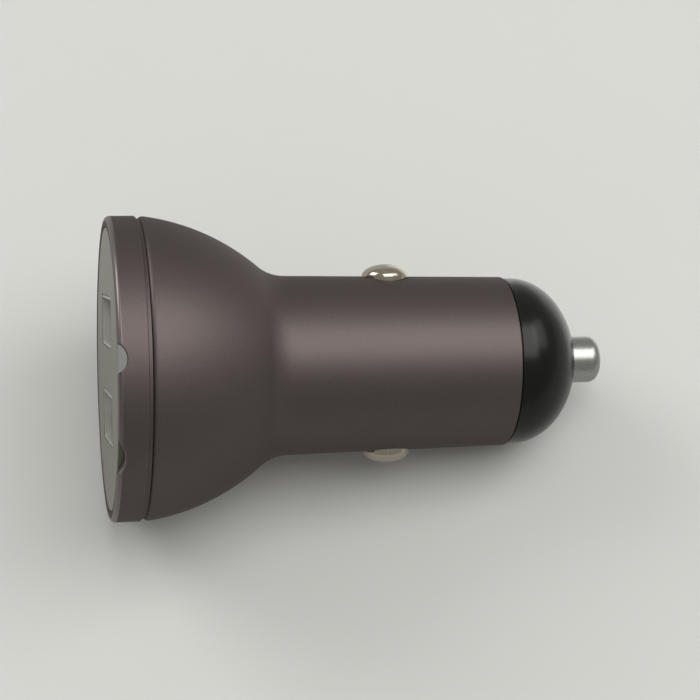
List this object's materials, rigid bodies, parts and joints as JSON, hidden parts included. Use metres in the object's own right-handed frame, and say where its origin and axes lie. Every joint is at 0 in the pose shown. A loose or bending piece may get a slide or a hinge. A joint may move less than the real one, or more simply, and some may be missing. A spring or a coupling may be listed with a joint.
{
  "type": "car usb charger plug",
  "caption": "Car power-socket plug with an aluminium bell and barrel, a domed nose with a sprung tip, sprung side contacts and USB sockets in its face.",
  "frame": {"origin": "centre of the plane of the front rim, on which the plug stands on its head", "axes": "+Z along the plug from its face to its tip, +X through side contact b, -Y the side the picture sees"},
  "size_m": [0.035, 0.035, 0.0583],
  "materials": {
    "anodised": "satin anodised, mauve-brown",
    "frosted": "frosted",
    "panel_black": "glossy",
    "carrier_plastic": "moulded",
    "socket_steel": "plated sheet",
    "tongue_plastic": "moulded",
    "socket_contact": "gold flash",
    "board": "lacquered laminate",
    "lamp": "clear lens",
    "pin_metal": "tinned",
    "ferrite": "sintered",
    "winding": "enamelled copper",
    "can": "drawn can",
    "chip_plastic": "moulded",
    "fuse_body": "ceramic",
    "sleeve_plastic": "moulded",
    "nickel": "polished nickel plate",
    "spring_steel": "drawn",
    "cap_black": "satin gloss",
    "terminal_brass": "stamped"
  },
  "bodies": {
    "housing": {"body_shell": "anodised", "front_ring": "anodised", "light_guide": "frosted", "face_panel": "panel_black", "port_carrier": "carrier_plastic", "usb_shell_1": "socket_steel", "usb_tongue_1": "tongue_plastic", "usb_contacts_1": "socket_contact", "usb_shell_2": "socket_steel", "usb_tongue_2": "tongue_plastic", "usb_contacts_2": "socket_contact", "port_board": "board", "indicator_led": "lamp", "main_board": "board", "board_pins": "pin_metal", "inductor_core": "ferrite", "inductor_winding": "winding", "capacitor_input": "can", "capacitor_output": "can", "controller_chip": "chip_plastic", "diode": "chip_plastic", "fuse": "fuse_body", "inner_sleeve": "sleeve_plastic", "side_spring_a": "spring_steel", "side_spring_b": "spring_steel", "nose_cap": "cap_black", "tip_terminal": "terminal_brass", "tip_spring": "spring_steel"},
    "tip": {"tip_contact": "nickel"},
    "contact_a": {"side_contact_a": "nickel"},
    "contact_b": {"side_contact_b": "nickel"}
  },
  "joints": [
    {"name": "tip_press", "type": "slide", "parent": "housing", "child": "tip", "axis": [0, 0, -1], "range_m": [0, 0.002], "stiffness_N_per_m": 500, "springref_m": -0.002, "deforming": ["tip_spring"]},
    {"name": "side_press_a", "type": "slide", "parent": "housing", "child": "contact_a", "axis": [1, 0, 0], "range_m": [0, 0.0012], "stiffness_N_per_m": 500, "springref_m": -0.002, "deforming": ["side_spring_a"]},
    {"name": "side_press_b", "type": "slide", "parent": "housing", "child": "contact_b", "axis": [-1, 0, 0], "range_m": [0, 0.0012], "stiffness_N_per_m": 500, "springref_m": -0.002, "deforming": ["side_spring_b"]}
  ]
}
